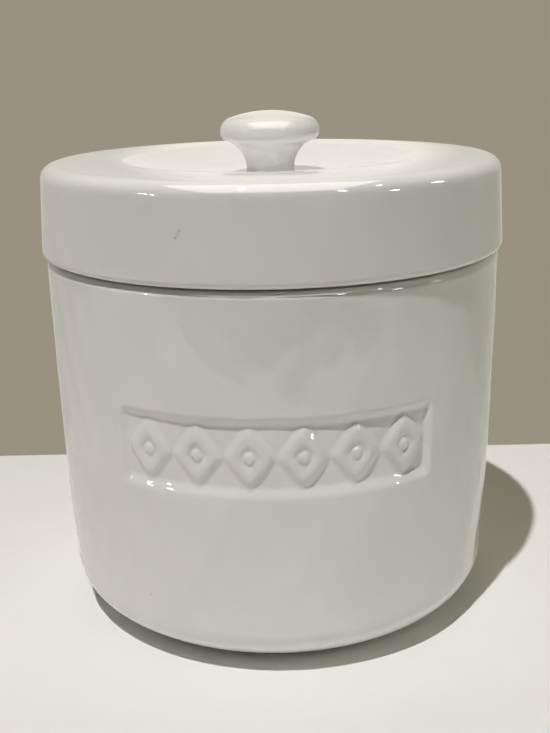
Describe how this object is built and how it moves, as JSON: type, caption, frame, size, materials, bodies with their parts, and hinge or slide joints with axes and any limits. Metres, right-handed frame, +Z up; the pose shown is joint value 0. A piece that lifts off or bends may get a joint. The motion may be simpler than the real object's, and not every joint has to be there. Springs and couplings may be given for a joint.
{
  "type": "bacon grease container",
  "caption": "Round white glazed stoneware keeper for bacon grease, with a lift-off knobbed cap lid and a drop-in wire mesh strainer.",
  "frame": {"origin": "centre of the foot ring, on the surface that the keeper stands on", "axes": "+Z up through the knob, -Y out of the front with the sunk panel, +X to the right as seen from the front"},
  "size_m": [0.1322, 0.1322, 0.1435],
  "materials": {
    "glaze": "gloss",
    "steel_sheet": "satin",
    "steel_mesh": "satin",
    "steel_wire": "polished"
  },
  "bodies": {
    "crock": {"crock": "glaze"},
    "strainer": {"strainer_flange": "steel_sheet", "strainer_mesh": "steel_mesh", "mesh_clamp_ring": "steel_sheet", "finger_loop_right": "steel_wire", "finger_loop_left": "steel_wire"},
    "lid": {"lid": "glaze", "lid_knob": "glaze"}
  },
  "joints": [
    {"name": "strainer_lift", "type": "slide", "parent": "crock", "child": "strainer", "axis": [0, 0, 1], "range_m": [0, 0.06]},
    {"name": "lid_lift", "type": "slide", "parent": "strainer", "child": "lid", "axis": [0, 0, 1], "range_m": [0, 0.06]}
  ]
}
